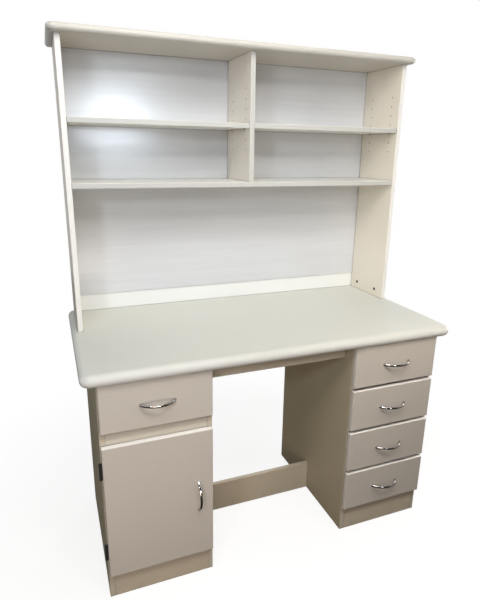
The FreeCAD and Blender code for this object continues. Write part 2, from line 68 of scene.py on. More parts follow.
# ---------------------------------------------------------------- choices
class Facing(Enum):
    """The side that a face or a fastener's head looks towards, as its outward direction."""

    FRONT = (0.0, -1.0, 0.0)
    REAR = (0.0, 1.0, 0.0)
    LEFT = (-1.0, 0.0, 0.0)
    RIGHT = (1.0, 0.0, 0.0)
    UP = (0.0, 0.0, 1.0)
    DOWN = (0.0, 0.0, -1.0)


class Lie(Enum):
    """The way a bow handle runs on its front, as a direction."""

    LEVEL = (1.0, 0.0, 0.0)
    UPRIGHT = (0.0, 0.0, 1.0)


class Shows(Enum):
    """Where a lamp acts."""

    EVERYWHERE = auto()
    IN_REFLECTIONS = auto()
    OUTSIDE_REFLECTIONS = auto()


class Sheen(Enum):
    """How glossy a board's face is, as the shader's roughness."""

    MATT = 0.55
    SATIN = 0.42
    SEMI_GLOSS = 0.18


# ---------------------------------------------------------------- surfaces from arrays
@dataclass
class Surface:
    """A mesh as arrays: points are (n, 3), quads (m, 4) and triangles (k, 3) point indices."""

    points: np.ndarray
    quads: np.ndarray
    triangles: np.ndarray

    def turned_outwards(self) -> "Surface":
        """Return the surface with its faces turned outwards.

        The signed volume is the sum over triangles of a . (b x c) / 6, which is negative where the
        faces look inwards.

        Returns:
            The surface itself, or a copy with every face's corners in the opposite order.
        """
        halves = [self.triangles, self.quads[:, [0, 1, 2]], self.quads[:, [0, 2, 3]]]
        corners = self.points[np.concatenate(halves)]
        volume = np.einsum("ij,ij->i", corners[:, 0], np.cross(corners[:, 1], corners[:, 2])).sum() / 6.0
        if volume > 0.0:
            return self
        return Surface(self.points, self.quads[:, ::-1], self.triangles[:, ::-1])

    def faced(self, facing: Facing) -> "Surface":
        """Return a surface made along +Z, turned so that its top looks to a side.

        Args:
            facing: one of the four upright sides.

        Returns:
            The copy, where local (a, b, c) lands at a (up x outwards) + b up + c outwards.
        """
        outwards, upwards = np.array(facing.value), np.array(Facing.UP.value)
        axes = np.stack([np.cross(upwards, outwards), upwards, outwards])
        return replace(self, points=self.points @ axes)

    def repeated(self, shifts: Sequence[Point]) -> "Surface":
        """Return one surface that holds a copy at each shift."""
        return joined([replace(self, points=self.points + np.array(shift)) for shift in shifts])


def joined(surfaces: Sequence[Surface]) -> Surface:
    """Return several surfaces as one.

    Args:
        surfaces: the surfaces to put together.

    Returns:
        One surface with all their points and faces.
    """
    starts = np.cumsum([0] + [len(surface.points) for surface in surfaces[:-1]])
    points = np.concatenate([surface.points for surface in surfaces])
    quads = np.concatenate([surface.quads + start for surface, start in zip(surfaces, starts)])
    triangles = np.concatenate([surface.triangles + start for surface, start in zip(surfaces, starts)])
    return Surface(points, quads, triangles)


def placed(make: Callable[[Facing], Surface], places: dict[Facing, Sequence[Point]]) -> Surface:
    """Return one surface with a shape at every place, turned to the side that lists the place."""
    return joined([make(facing).repeated(spots) for facing, spots in places.items()])


def circle(sides: int) -> tuple[np.ndarray, np.ndarray]:
    """Return the cosines and the sines of evenly spaced angles once round."""
    angles = np.arange(sides) / sides * 2.0 * np.pi
    return np.cos(angles), np.sin(angles)


def ringed_surface(rings: np.ndarray, first_pole: np.ndarray, last_pole: np.ndarray) -> Surface:
    """Return the closed skin over a row of rings, with a fan of triangles to a pole at each end.

    Args:
        rings: (rows, sides, 3) points; each row is one closed ring.
        first_pole: the point that closes the first ring.
        last_pole: the point that closes the last ring.

    Returns:
        The closed surface, its faces turned outwards.
    """
    rows, sides = rings.shape[:2]
    index = np.arange(rows * sides).reshape(rows, sides)
    following = np.roll(index, -1, axis=1)
    quads = np.stack([index[:-1], following[:-1], following[1:], index[1:]], axis=-1).reshape(-1, 4)
    poles = np.full(sides, rows * sides)
    start_fan = np.stack([poles, following[0], index[0]], axis=-1)
    end_fan = np.stack([poles + 1, index[-1], following[-1]], axis=-1)
    points = np.concatenate([rings.reshape(-1, 3), first_pole[None], last_pole[None]])
    return Surface(points, quads, np.concatenate([start_fan, end_fan])).turned_outwards()


def turned(profile: Sequence[tuple[float, float]], facing: Facing, sides: int) -> Surface:
    """Return a solid of revolution that stands on the plane through the origin.

    Ring k has radius r_k at height h_k, so its points are (r cos t, r sin t, h) for t once round; the
    first and last heights close it with a pole.

    Args:
        profile: (height, radius) pairs from the foot to the top.
        facing: the side that the top looks towards.
        sides: points round each ring.

    Returns:
        The closed solid.
    """
    heights, radii = np.array(profile).T
    cosines, sines = circle(sides)
    levels = np.broadcast_to(heights[:, None], (len(heights), sides))
    rings = np.stack([radii[:, None] * cosines, radii[:, None] * sines, levels], axis=-1)
    axis = np.array(Facing.UP.value)
    return ringed_surface(rings, heights[0] * axis, heights[-1] * axis).faced(facing)


def rounded_plate(low: np.ndarray, high: np.ndarray, corner: float, ease: float) -> Surface:
    """Return an upright plate in the XZ plane, its outline's corners and front and rear edges rounded.

    The outline is the rectangle drawn in by the corner radius plus a circle of that radius.  Near each
    face the rings lie ease (1 - sin a) from it and draw in by ease (1 - cos a), for a over a quarter
    turn, so both rims are arcs.

    Args:
        low: the lowest corner.
        high: the highest corner.
        corner: the radius of the outline's corners.
        ease: the radius of the rims.

    Returns:
        The closed plate.
    """
    corner_steps, rim_steps, quarter = 7, 4, np.pi / 2.0
    turns = (np.arange(4)[:, None] * quarter + np.linspace(0.0, quarter, corner_steps)).ravel()
    outline = np.stack([np.cos(turns), np.sin(turns)], axis=-1)
    signs = np.repeat(np.array([[1.0, 1.0], [-1.0, 1.0], [-1.0, -1.0], [1.0, -1.0]]), corner_steps, axis=0)
    middle, half = (low + high) / 2.0, (high - low) / 2.0
    rise = np.linspace(0.0, quarter, rim_steps)
    climb, draw = ease * (1.0 - np.sin(rise)), ease * (1.0 - np.cos(rise))
    depth = np.concatenate([low[1] + climb[::-1], high[1] - climb])
    inset = np.concatenate([draw[::-1], draw])
    flat = signs * (half[[0, 2]] - corner) + (corner - inset)[:, None, None] * outline
    levels = np.broadcast_to(depth[:, None], flat.shape[:2])
    rings = np.stack([middle[0] + flat[..., 0], levels, middle[2] + flat[..., 1]], axis=-1)
    ends = np.array([[middle[0], depth[0], middle[2]], [middle[0], depth[-1], middle[2]]])
    return ringed_surface(rings, ends[0], ends[1])


# ---------------------------------------------------------------- materials
@dataclass(frozen=True)
class Grain:
    """A noise pattern: its features a metre, and the span of its values that the look takes up."""

    a_metre: float
    span: Span
    detail: float = 2.0
    roughness: float = 0.5


class NodeSheet:
    """A node tree, emptied, with a short method for each step that the looks share."""

    def __init__(self, tree: bpy.types.NodeTree) -> None:
        """Take over a tree."""
        self.tree = tree
        tree.nodes.clear()

    def add(self, kind: str, *terms: object, **named: object) -> bpy.types.Node:
        """Add a node.

        Args:
            kind: the node's type name, without its ShaderNode.
            terms: values for its first inputs, in order.
            named: values by name.  Names in small letters are the node's own settings, which come
                first; the others are inputs, with spaces written as underscores.

        Returns:
            The new node.
        """
        node = self.tree.nodes.new("ShaderNode" + kind)
        for label, value in named.items():
            if label.islower():
                setattr(node, label, value)
            else:
                self.feed(node.inputs[label.replace("_", " ")], value)
        for target, value in zip(node.inputs, terms):
            self.feed(target, value)
        return node

    def feed(self, target: Socket, value: object) -> None:
        """Link a socket to the target, or set any other value on it.

        Args:
            target: the input socket.
            value: a socket, number, vector or colour of three parts, which gets an alpha of one.
        """
        if isinstance(value, Socket):
            self.tree.links.new(value, target)
        else:
            target.default_value = (*value, 1.0) if target.type == "RGBA" else value

    def place(self, stretch: Point = (1.0, 1.0, 1.0)) -> Socket:
        """Return object coordinates, in metres, multiplied by a stretch on each axis."""
        source = self.add("TexCoord").outputs["Object"]
        return self.add("Mapping", Vector=source, Scale=stretch).outputs["Vector"]

    def own_normal(self) -> Socket:
        """Return the surface's direction along the object's own axes."""
        return self.add("TexCoord").outputs["Normal"]

    def parts(self, vector: Socket) -> tuple[Socket, Socket, Socket]:
        """Return a vector's x, y and z."""
        return tuple(self.add("SeparateXYZ", vector).outputs)

    def noise(self, place: Socket, scale: float, detail: float = 2.0, roughness: float = 0.5) -> Socket:
        """Return a noise pattern of about 0 to 1 with scale features a metre."""
        node = self.add("TexNoise", Vector=place, Scale=scale, Detail=detail, Roughness=roughness)
        return node.outputs["Fac"]

    def spread(self, value: Socket, source: Span, target: Span = (0.0, 1.0)) -> Socket:
        """Return a value carried from the source span to the target span and held inside it."""
        return self.add("MapRange", value, *source, *target).outputs["Result"]

    def mottle(self, place: Socket, grain: Grain, target: Span = (0.0, 1.0)) -> Socket:
        """Return a grain's noise with its span of values carried to the target span."""
        noise = self.noise(place, grain.a_metre, grain.detail, grain.roughness)
        return self.spread(noise, grain.span, target)

    def sums(self, operation: str, *terms: object) -> Socket:
        """Return what a Math node works out from numbers or sockets."""
        return self.add("Math", *terms, operation=operation).outputs["Value"]

    def measure(self, operation: str, *terms: object) -> Socket:
        """Return the number that a VectorMath node works out from vectors."""
        return self.add("VectorMath", *terms, operation=operation).outputs["Value"]

    def blend(self, share: Socket, first: object, second: object, method: str = "MIX") -> Socket:
        """Return the colour from the first to the second for a share of 0 to 1, mixed or multiplied."""
        return self.add("Mix", data_type="RGBA", blend_type=method,
                        Factor=share, A=first, B=second).outputs["Result"]

    def either(self, share: Socket, first: Socket, second: Socket) -> Socket:
        """Return the look that goes from the first shader to the second as share goes from 0 to 1."""
        return self.add("MixShader", share, first, second).outputs["Shader"]

    def seen(self) -> Socket:
        """Return 1 for the camera's rays, straight, mirrored or let through, and 0 for a matt surface's."""
        rays = self.add("LightPath").outputs
        return self.sums("MAXIMUM", self.sums("MAXIMUM", rays["Is Camera Ray"], rays["Is Glossy Ray"]),
                         rays["Is Transmission Ray"])


class ShaderSheet(NodeSheet):
    """One material's node tree."""

    def __init__(self, name: str) -> None:
        """Start the material.

        Args:
            name: the material's name.
        """
        self.material = bpy.data.materials.new(name)
        self.material.use_nodes = True
        super().__init__(self.material.node_tree)

    def finished(self, **inputs: object) -> Material:
        """Give the surface a Principled shader with these inputs, and return the material."""
        return self.covered(self.add("BsdfPrincipled", **inputs).outputs["BSDF"])

    def covered(self, look: Socket) -> Material:
        """Give the surface a look, and return the material."""
        self.add("OutputMaterial", Surface=look)
        return self.material

    def relief(self, height: Socket, depth: float, **normal: Socket) -> Socket:
        """Return a surface's normal, or the one given as Normal, raised by height times depth in metres."""
        return self.add("Bump", Height=height, Strength=1.0, Distance=depth, **normal).outputs["Normal"]

    def crevice(self, reach: float) -> Socket:
        """Return 0 deep in a joint or corner and 1 where nothing stands within reach metres."""
        return self.add("AmbientOcclusion", samples=6, Distance=reach).outputs["AO"]

    def edge_share(self, radius: float) -> tuple[Socket, Socket]:
        """Return how near a sharp edge the surface is, and its normal with that edge rounded.

        The share is one minus the dot product of the true normal and the rounded one, spread to 0..1.

        Args:
            radius: the rounding in metres.

        Returns:
            The share, 0 on the flat and 1 at the edge, and the rounded normal.
        """
        rounded = self.add("Bevel", samples=4, Radius=radius).outputs["Normal"]
        true_normal = self.add("NewGeometry").outputs["Normal"]
        turned_by = self.sums("SUBTRACT", 1.0, self.measure("DOT_PRODUCT", rounded, true_normal))
        return self.spread(turned_by, EDGE_TURN), rounded


def shade(colour: Colour, factor: float) -> Colour:
    """Return a colour multiplied by a factor."""
    return tuple(part * factor for part in colour)


def around(value: float, change: Span) -> Span:
    """Return the span from a value plus the first change to the value plus the second."""
    return value + change[0], value + change[1]


@dataclass(frozen=True)
class CoreZone:
    """The space inside a board's skin, where holes and grooves lay its chipboard bare, coloured darker than
    chipboard as painted shade.

    It is judged by |x|, y and z, so that one side board's zone holds for its mirror image too.
    """

    board: str
    skin: float = 0.0004
    front_skin: float = 0.0016
    # chipboard colours far darker than bare chipboard: painted shade inside the holes and grooves
    pale_shaded_chip: Colour = (0.17, 0.12, 0.07)
    dark_shaded_chip: Colour = (0.05, 0.03, 0.017)
    chips: Grain = Grain(1300.0, (0.35, 0.7), detail=3.0)

    def cover(self, sheet: ShaderSheet, place: Socket, colour: Socket) -> Socket:
        """Lay chipboard, darkened as painted shade, over a colour wherever the surface lies inside the zone.

        Args:
            sheet: the material's tree.
            place: object coordinates.
            colour: the board's own colour.

        Returns:
            The colour as a socket.
        """
        low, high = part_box(self.board)
        across, back, up = sheet.parts(place)
        limits = ((sheet.sums("ABSOLUTE", across), low.x + self.skin, high.x - self.skin),
                  (back, low.y + self.front_skin, high.y - self.skin),
                  (up, low.z + self.skin, high.z - self.skin))
        shaded_chip = sheet.blend(sheet.mottle(place, self.chips), self.dark_shaded_chip, self.pale_shaded_chip)
        share = 1.0
        for value, start, end in limits:
            within = sheet.sums("MULTIPLY", sheet.sums("GREATER_THAN", value, start),
                                sheet.sums("LESS_THAN", value, end))
            share = sheet.sums("MULTIPLY", share, within)
        return sheet.blend(share, colour, shaded_chip)


@dataclass(frozen=True)
class BoardFinish:
    """A sheet material's face: a plain colour with a fine pebble and broad clouding, and lighter edges that
    are partly rub wear and partly a painted highlight.

    The tint for faces that look to one side paints light or shade on them; the rim tint paints a highlight
    on a front's upper rim and the nose tint paints light on the lower nose of a top; their spans are the
    parts of the direction at which a share is 0 and 1.  A shade darkens or lightens the board's own colour.
    The core shows where holes and grooves cut in, its chipboard darkened as painted shade, and the crevice
    settings paint shade in corners and joints.
    """

    name: str
    colour: Colour
    sheen: Sheen
    gloss: float = 0.5
    ior: float = 1.47
    clouding: float = 0.03
    cloud: Grain = Grain(2.6, (0.3, 0.7), detail=3.0)
    speck: Grain = Grain(620.0, (0.62, 0.78), detail=1.0)
    speck_share: float = 0.1
    speck_shade: float = 0.72
    pebble_size: float = 0.0009
    pebble_depth: float = 0.00002
    ripples_a_metre: float = 95.0
    ripple_depth: float = 0.00002
    streaks: float = 0.0
    streak: Grain = Grain(1.0, (0.35, 0.7), detail=5.0, roughness=0.6)
    streak_stretch: Point = (3.2, 1.0, 62.0)
    streak_tint: Colour = (0.82, 0.82, 0.82)
    smudge: Grain = Grain(5.0, (0.2, 0.8), roughness=0.4)
    smudge_stretch: Point = (0.8, 1.0, 9.0)
    smudge_change: Span = (-0.02, 0.03)
    # painted light and shade: faces that look to one side get a tint for how light falls on them
    side_light_tint: tuple[Facing, Colour] | None = None
    side_light_span: Span = (0.97, 0.999)
    # painted highlight on a front's upper rim
    rim_highlight_tint: Colour | None = None
    rim_turn: Span = (0.96, 0.5)
    rim_rise: Span = (-0.2, 0.5)
    # painted light on a top's lower nose
    nose_light_tint: Colour | None = None
    nose_turn: Span = (0.995, 0.9)
    nose_drop: Span = (0.75, -0.6)
    scuff_height: float = 0.0
    scuff: Grain = Grain(34.0, (0.42, 0.72), detail=6.0)
    scuff_share: float = 0.3
    scuff_shade: float = 0.62
    # lighter edges: rub wear on most boards; the edge tint, set on the fronts, is a painted edge highlight
    edge_reach: float = 0.0011
    edge_rub_and_glint: Grain = Grain(90.0, (0.42, 0.62))
    edge_wear_and_highlight: Span = (0.1, 0.55)
    edge_shade: float = 1.08
    edge_highlight_tint: Colour | None = None
    # painted shade: ambient occlusion darkens corners, joints and the faces under things
    crevice_shade_reach: float = 0.006
    crevice_shade_span: Span = (0.4, 0.75)
    crevice_shade_share: float = 0.95
    crevice_shade_factor: float = 0.25
    core: CoreZone | None = None

    def build(self) -> Material:
        """Make the material.

        Returns:
            The finished material.
        """
        sheet = ShaderSheet(self.name)
        place = sheet.place()
        edge, rounded = sheet.edge_share(self.edge_reach)
        lay = sheet.place(self.smudge_stretch) if self.streaks else place
        ripple = sheet.noise(place, self.ripples_a_metre, detail=1.0)
        pebble = sheet.noise(place, 1.0 / self.pebble_size, detail=1.0)
        rippled = sheet.relief(ripple, self.ripple_depth, Normal=rounded)
        return sheet.finished(
            Base_Color=self._colour(sheet, place, edge),
            Roughness=sheet.mottle(lay, self.smudge, around(self.sheen.value, self.smudge_change)),
            Normal=sheet.relief(pebble, self.pebble_depth, Normal=rippled),
            IOR=self.ior, Specular_IOR_Level=self.gloss)

    def _colour(self, sheet: ShaderSheet, place: Socket, edge: Socket) -> Socket:
        """Lay clouds, specks, painted light and shade tints, streaks, scuffs, worn and painted-highlight edges,
        the core darkened as painted shade and the painted crevice shade over one another.

        Args:
            sheet: the material's tree.
            place: object coordinates.
            edge: how near a sharp edge the surface is.

        Returns:
            The colour as a socket.
        """
        cloud = sheet.mottle(place, self.cloud)
        colour = sheet.blend(cloud, shade(self.colour, 1.0 - self.clouding), self.colour)
        speck = sheet.mottle(place, self.speck, (0.0, self.speck_share))
        colour = sheet.blend(speck, colour, shade(self.colour, self.speck_shade))
        # painted light and shade on the faces that look to one side
        if self.side_light_tint:
            side, tint = self.side_light_tint
            looks = sheet.measure("DOT_PRODUCT", sheet.own_normal(), side.value)
            colour = sheet.blend(sheet.spread(looks, self.side_light_span), colour, tint)
        if self.streaks:
            streak = sheet.mottle(sheet.place(self.streak_stretch), self.streak, (0.0, self.streaks))
            colour = sheet.blend(streak, colour, self.streak_tint, "MULTIPLY")
        # painted highlight on a front's upper rim
        if self.rim_highlight_tint:
            colour = sheet.blend(self._rim_highlight_share(sheet), colour, self.rim_highlight_tint)
        # painted light on a top's lower nose
        if self.nose_light_tint:
            colour = sheet.blend(self._nose_light_share(sheet), colour, self.nose_light_tint)
        if self.scuff_height:
            scuffed = self._scuff_share(sheet, place)
            colour = sheet.blend(scuffed, colour, shade(self.colour, self.scuff_shade))
        # lighter edges: wear, and on the fronts a painted edge highlight
        worn = sheet.sums("MULTIPLY", edge, sheet.mottle(place, self.edge_rub_and_glint, self.edge_wear_and_highlight))
        colour = sheet.blend(worn, colour, self.edge_highlight_tint or shade(self.colour, self.edge_shade))
        # chipboard in holes and grooves, darkened as painted shade
        if self.core:
            colour = self.core.cover(sheet, place, colour)
        # painted shade: darker in corners, joints and gaps, from ambient occlusion
        crevice_shade = sheet.spread(sheet.crevice(self.crevice_shade_reach), self.crevice_shade_span, (self.crevice_shade_share, 0.0))
        return sheet.blend(crevice_shade, colour, shade(self.colour, self.crevice_shade_factor))

    def _rim_highlight_share(self, sheet: ShaderSheet) -> Socket:
        """Return 0 on a front's two broad faces, rising to 1 on its rim's upper edge, where the painted
        highlight is palest.
        """
        _, back, up = sheet.parts(sheet.own_normal())
        return sheet.sums("MULTIPLY", sheet.spread(sheet.sums("ABSOLUTE", back), self.rim_turn),
                          sheet.spread(up, self.rim_rise))

    def _nose_light_share(self, sheet: ShaderSheet) -> Socket:
        """Return 0 on a top's flat faces, rising to 1 low on its nose, where its painted light is full."""
        up = sheet.parts(sheet.own_normal())[2]
        return sheet.sums("MULTIPLY", sheet.spread(sheet.sums("ABSOLUTE", up), self.nose_turn),
                          sheet.spread(up, self.nose_drop))

    def _scuff_share(self, sheet: ShaderSheet, place: Socket) -> Socket:
        """Return the share of grime, patchy and fading out upwards from the floor."""
        low = sheet.spread(sheet.parts(place)[2], (0.0, self.scuff_height), (1.0, 0.0))
        return sheet.sums("MULTIPLY", low, sheet.mottle(place, self.scuff, (0.0, self.scuff_share)))


@dataclass(frozen=True)
class MetalFinish:
    """Plated or polished metal: a metal tint with fine wear in its gloss and a slight waviness."""

    name: str
    tint: Colour
    dull_tint: Colour
    gloss: Span
    film: Grain = Grain(120.0, (0.45, 0.75), detail=5.0, roughness=0.7)
    film_share: float = 0.6
    scuff: Grain = Grain(260.0, (0.35, 0.75), detail=4.0, roughness=0.6)
    waves_a_metre: float = 160.0
    wave_depth: float = 0.000004

    def build(self) -> Material:
        """Make the material.

        Returns:
            The finished material.
        """
        sheet = ShaderSheet(self.name)
        place = sheet.place()
        film = sheet.mottle(place, self.film, (0.0, self.film_share))
        waves = sheet.noise(place, self.waves_a_metre, detail=1.0)
        return sheet.finished(
            Base_Color=sheet.blend(film, self.tint, self.dull_tint),
            Metallic=1.0,
            Roughness=sheet.mottle(place, self.scuff, self.gloss),
            Normal=sheet.relief(waves, self.wave_depth))


@dataclass(frozen=True)
class CoatedSteelFinish:
    """Steel under a baked coat: a faint orange peel, and edges where the coat is worn thin."""

    name: str
    colour: Colour
    worn_colour: Colour
    wear: float
    roughness: float
    gloss: float = 0.5
    cloud: Grain = Grain(60.0, (0.35, 0.7), detail=4.0)
    cloud_shade: float = 0.9
    edge_reach: float = 0.0005
    chips: Grain = Grain(420.0, (0.4, 0.65), detail=3.0)
    smudge: Grain = Grain(40.0, (0.3, 0.7))
    smudge_change: Span = (-0.05, 0.06)
    peel_a_metre: float = 1100.0
    peel_depth: float = 0.00003

    def build(self) -> Material:
        """Make the material.

        Returns:
            The finished material.
        """
        sheet = ShaderSheet(self.name)
        place = sheet.place()
        cloud = sheet.mottle(place, self.cloud)
        colour = sheet.blend(cloud, self.colour, shade(self.colour, self.cloud_shade))
        edge, rounded = sheet.edge_share(self.edge_reach)
        patchy = sheet.mottle(place, self.chips, (0.0, self.wear))
        peel = sheet.noise(place, self.peel_a_metre, detail=1.0)
        return sheet.finished(
            Base_Color=sheet.blend(sheet.sums("MULTIPLY", edge, patchy), colour, self.worn_colour),
            Roughness=sheet.mottle(place, self.smudge, around(self.roughness, self.smudge_change)),
            Normal=sheet.relief(peel, self.peel_depth, Normal=rounded),
            Specular_IOR_Level=self.gloss)


@dataclass(frozen=True)
class PlasticFinish:
    """Moulded plastic with a fine spark-eroded grain."""

    name: str
    colour: Colour
    roughness: float
    tone: Grain = Grain(45.0, (0.3, 0.7), detail=3.0)
    tone_shade: float = 0.94
    sparks_a_metre: float = 1500.0
    spark_span: Span = (0.1, 0.7)
    spark_change: Span = (-0.06, 0.08)
    spark_depth: float = 0.00004

    def build(self) -> Material:
        """Make the material.

        Returns:
            The finished material.
        """
        sheet = ShaderSheet(self.name)
        place = sheet.place()
        tone = sheet.mottle(place, self.tone)
        sparks = sheet.add("TexVoronoi", Vector=place, Scale=self.sparks_a_metre).outputs["Distance"]
        return sheet.finished(
            Base_Color=sheet.blend(tone, shade(self.colour, self.tone_shade), self.colour),
            Roughness=sheet.spread(sparks, self.spark_span, around(self.roughness, self.spark_change)),
            Normal=sheet.relief(sparks, self.spark_depth))


class Finish(Enum):
    """Every finish of the desk."""

    # lower nose tinted lighter: painted light on the nose, which looks down and forward
    TOP = BoardFinish("top_laminate", (0.668, 0.672, 0.618), Sheen.SATIN, pebble_size=0.0011,
                      pebble_depth=0.00003, gloss=0.6, nose_light_tint=(0.82, 0.83, 0.81))
    # the top's laminate, warmer and darker off its upper face: painted warm shade on the underside and nose;
    # the face that looks up is tinted back to the top's colour and the nose tint sets the lower nose's painted
    # light
    HUTCH_TOP = replace(TOP, name="hutch_top", colour=(0.67, 0.63, 0.56), nose_light_tint=(0.63, 0.61, 0.565),
                        side_light_tint=(Facing.UP, (0.68, 0.67, 0.62)))
    # faces that look to the front tinted darker: painted shade on the shelves' front edges
    HUTCH_BOARD = BoardFinish("hutch_board", (0.84, 0.835, 0.79), Sheen.SATIN,
                              side_light_tint=(Facing.FRONT, (0.62, 0.615, 0.58)))
    # painted lighter than the shelves on its front and top, as lit faces; the face that looks to the rear gets
    # a plainer white
    BACK_RAIL = replace(HUTCH_BOARD, name="back_rail", colour=(0.93, 0.94, 0.93),
                        side_light_tint=(Facing.REAR, (0.78, 0.76, 0.71)))
    # warmer than the shelves: partly the board's cream tone, partly painted warm light on the inner faces;
    # faces that look to the front are painted lighter as lit edges
    HUTCH_SIDE = replace(HUTCH_BOARD, name="hutch_side", colour=(0.89, 0.825, 0.715),
                         side_light_tint=(Facing.FRONT, (0.96, 0.95, 0.91)),
                         core=CoreZone("hutch_right_side"))
    # warmer than the shelves: painted warm shade on the divider's faces
    HUTCH_DIVIDER = replace(HUTCH_BOARD, name="hutch_divider", colour=(0.91, 0.85, 0.775),
                            core=CoreZone("hutch_divider"))
    # the same white board, darkened and warmed as painted shade on the pedestals; faces that look to the front
    # are painted lighter as lit edges; the scuffs near the floor are dirt
    CARCASS_BOARD = BoardFinish("carcass_board", (0.515, 0.45, 0.325), Sheen.SATIN, clouding=0.04,
                                side_light_tint=(Facing.FRONT, (0.61, 0.545, 0.44)), scuff_height=0.05, gloss=0.25)
    # darker than the carcass: painted shade under the fronts, low by the floor
    PLINTH_BOARD = replace(CARCASS_BOARD, name="plinth_board", colour=(0.625, 0.545, 0.425), side_light_tint=None)
    # faces that look down painted dark: painted shade on the fronts' lower rims; the edge tint is a painted
    # edge highlight, the rim tint a painted highlight on the upper rim, and the crevice settings paint shade in
    # the gaps
    FRONT = BoardFinish("front_foil", (0.616, 0.569, 0.512), Sheen.SATIN, ripple_depth=0.00003, gloss=0.35,
                        side_light_tint=(Facing.DOWN, (0.33, 0.27, 0.20)), side_light_span=(0.1, 0.7),
                        edge_highlight_tint=(0.94, 0.91, 0.85), rim_highlight_tint=(1.0, 0.98, 0.94),
                        crevice_shade_reach=0.004, crevice_shade_share=0.5)
    # darkened as painted shade between the drawer and the door, with a wide crevice reach that paints the
    # shadow below the drawer front
    RAIL_BOARD = BoardFinish("rail_board", (0.64, 0.595, 0.51), Sheen.SATIN, gloss=0.25, crevice_shade_reach=0.012,
                             crevice_shade_share=0.6)
    # cool tint on the faces that the front lamps light: painted cool light; the faces that look to the rear get
    # a neutral white
    BACK_PANEL = BoardFinish("back_panel", (0.725, 0.738, 0.768), Sheen.SEMI_GLOSS, streaks=0.3,
                             side_light_tint=(Facing.REAR, (0.75, 0.74, 0.71)), ripple_depth=0.00003)
    DRAWER_BOARD = BoardFinish("drawer_board", (0.82, 0.80, 0.76), Sheen.SATIN)
    DRAWER_BASE = replace(DRAWER_BOARD, name="drawer_base", sheen=Sheen.MATT, streaks=0.2)
    CHROME = MetalFinish("chrome_handle", (0.50, 0.485, 0.46), (0.40, 0.385, 0.365), (0.05, 0.13))
    PIN = MetalFinish("pin_steel", (0.60, 0.59, 0.57), (0.44, 0.43, 0.41), (0.22, 0.38))
    SCREW = MetalFinish("screw_zinc", (0.62, 0.61, 0.58), (0.40, 0.39, 0.37), (0.22, 0.40))
    RUNNER = CoatedSteelFinish("runner_steel", (0.78, 0.77, 0.73), (0.42, 0.41, 0.39), 0.5, 0.38)
    HINGE = CoatedSteelFinish("hinge_steel", (0.028, 0.027, 0.026), (0.22, 0.21, 0.20), 0.8, 0.40)
    # near-black, far darker than zinc: a dark cap that also stands in as painted shade for its pocket
    CAM = CoatedSteelFinish("cam_zinc", (0.012, 0.010, 0.008), (0.05, 0.047, 0.044), 0.3, 0.6, 0.05)
    CATCH = PlasticFinish("catch_plastic", (0.80, 0.80, 0.78), 0.42)
    ROLLER = PlasticFinish("roller_nylon", (0.80, 0.79, 0.75), 0.36)

    @cached_property
    def material(self) -> Material:
        """Return the finish's material, made when it is first asked for."""
        return self.value.build()


# ---------------------------------------------------------------- putting things into the scene
def dress(finish: Finish, *nodes: str) -> None:
    """Give CAD nodes a finish in every material slot they have.

    Args:
        finish: the finish that they all get.
        nodes: the nodes' names.
    """
    for node in nodes:
        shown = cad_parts[node]
        if not shown.material_slots:
            shown.data.materials.append(finish.material)
        for slot in shown.material_slots:
            slot.material = finish.material
        LOG.info("%s: dressed in %s", node, finish.material.name)


def add_object(name: str, points: Sequence, faces: Sequence, material: Material) -> bpy.types.Object:
    """Put a smooth mesh into the scene.

    Args:
        name: its name.
        points: its points.
        faces: the point indices of its faces.
        material: its material.

    Returns:
        The new object.
    """
    mesh = bpy.data.meshes.new(name)
    mesh.from_pydata(points, [], faces, shade_flat=False)
    mesh.materials.append(material)
    added = bpy.data.objects.new(name, mesh)
    bpy.context.scene.collection.objects.link(added)
    return added


def add_piece(name: str, surface: Surface, body: str, finish: Finish) -> bpy.types.Object:
    """Put a surface into the scene as a piece that rides on a body.

    Args:
        name: the piece's name.
        surface: its mesh, already in place.
        body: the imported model's body that it moves with.
        finish: its finish.

    Returns:
        The new object.
    """
    faces = surface.quads.tolist() + surface.triangles.tolist()
    piece = add_object(name, surface.points.tolist(), faces, finish.material)
    piece.data.validate()
    piece.data.set_sharp_from_angle(angle=SHARP_ANGLE)
    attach(piece, body)
    LOG.info("%s: %d faces on %s", name, len(faces), body)
    return piece


def add_to_stage(name: str, low: Point, high: Point, material: Material) -> bpy.types.Object:
    """Add a flat rectangle that belongs to the studio.

    Args:
        name: its name.
        low: its lowest corner.
        high: its opposite corner; x and one other part differ from the lowest corner's.
        material: its material.

    Returns:
        The new object.
    """
    corners = [low, (high[0], low[1], low[2]), high, (low[0], high[1], high[2])]
    card = add_object(name, corners, [(0, 1, 2, 3)], material)
    return card


# ---------------------------------------------------------------- fasteners and handles
def soft_inside(value: np.ndarray, limit: float, wall: float) -> np.ndarray:
    """Return s * s * (3 - 2 s), where s falls from 1 to 0 as |value| crosses a wall round the limit."""
    share = np.clip((limit + wall - np.abs(value)) / (2.0 * wall), 0.0, 1.0)
    return share * share * (3.0 - 2.0 * share)


